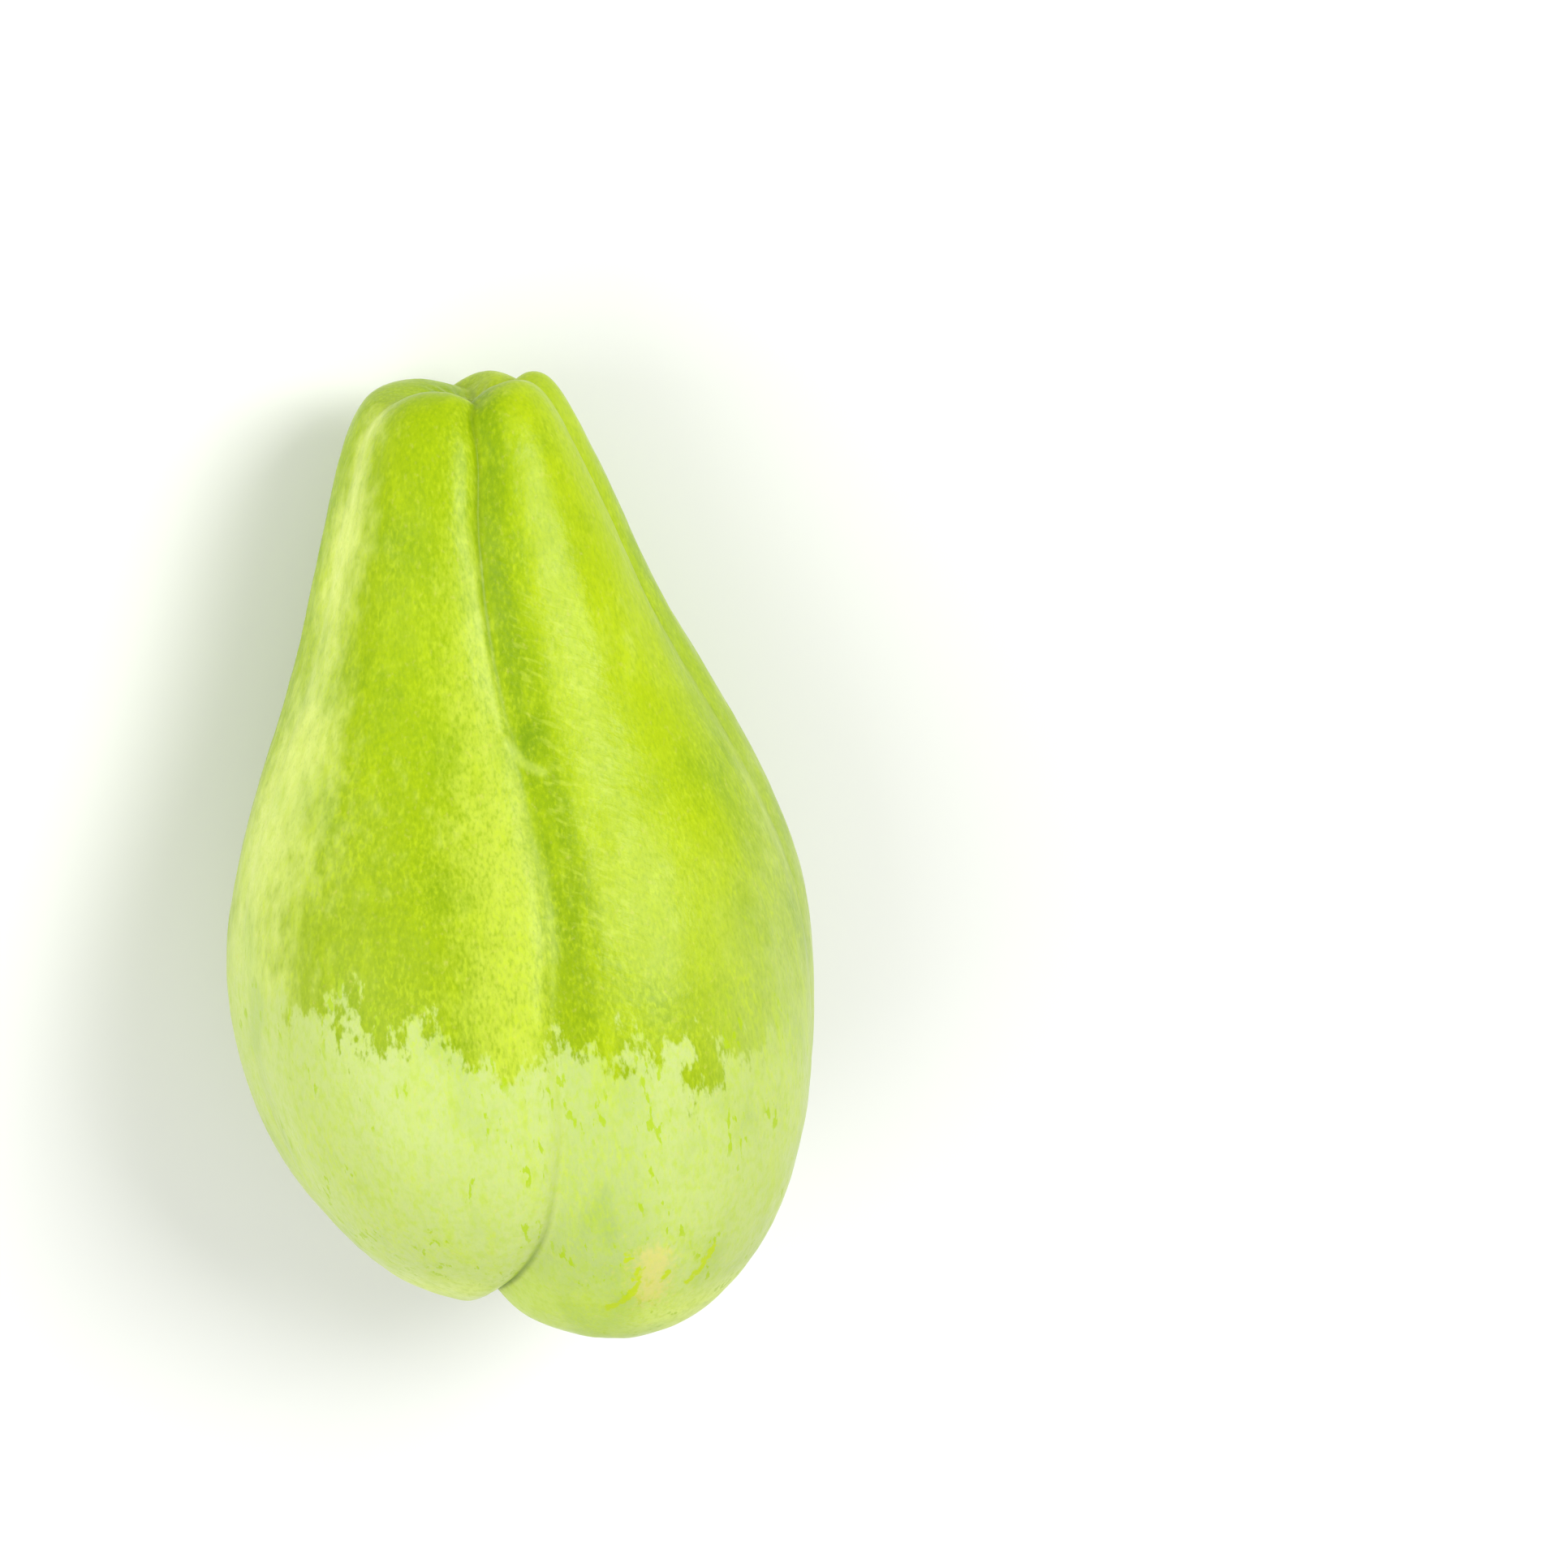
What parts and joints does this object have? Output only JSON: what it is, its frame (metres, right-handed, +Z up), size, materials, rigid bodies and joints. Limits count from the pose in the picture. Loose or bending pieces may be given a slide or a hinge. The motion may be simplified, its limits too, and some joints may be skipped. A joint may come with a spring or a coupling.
{
  "type": "chayote squash",
  "caption": "Whole pear-shaped green squash lying on its side, with furrows from the stem dimple to a puckered mouth at its broad end.",
  "frame": {"origin": "on the surface that the fruit lies on, under the middle of its box", "axes": "+Y along the fruit towards its stem end, +Z up from the surface, +X to the right seen from above with the stem end away from the viewer"},
  "size_m": [0.074, 0.121, 0.061],
  "materials": {
    "skin": "satin"
  },
  "bodies": {
    "root": {"chayote": "skin"}
  },
  "joints": []
}
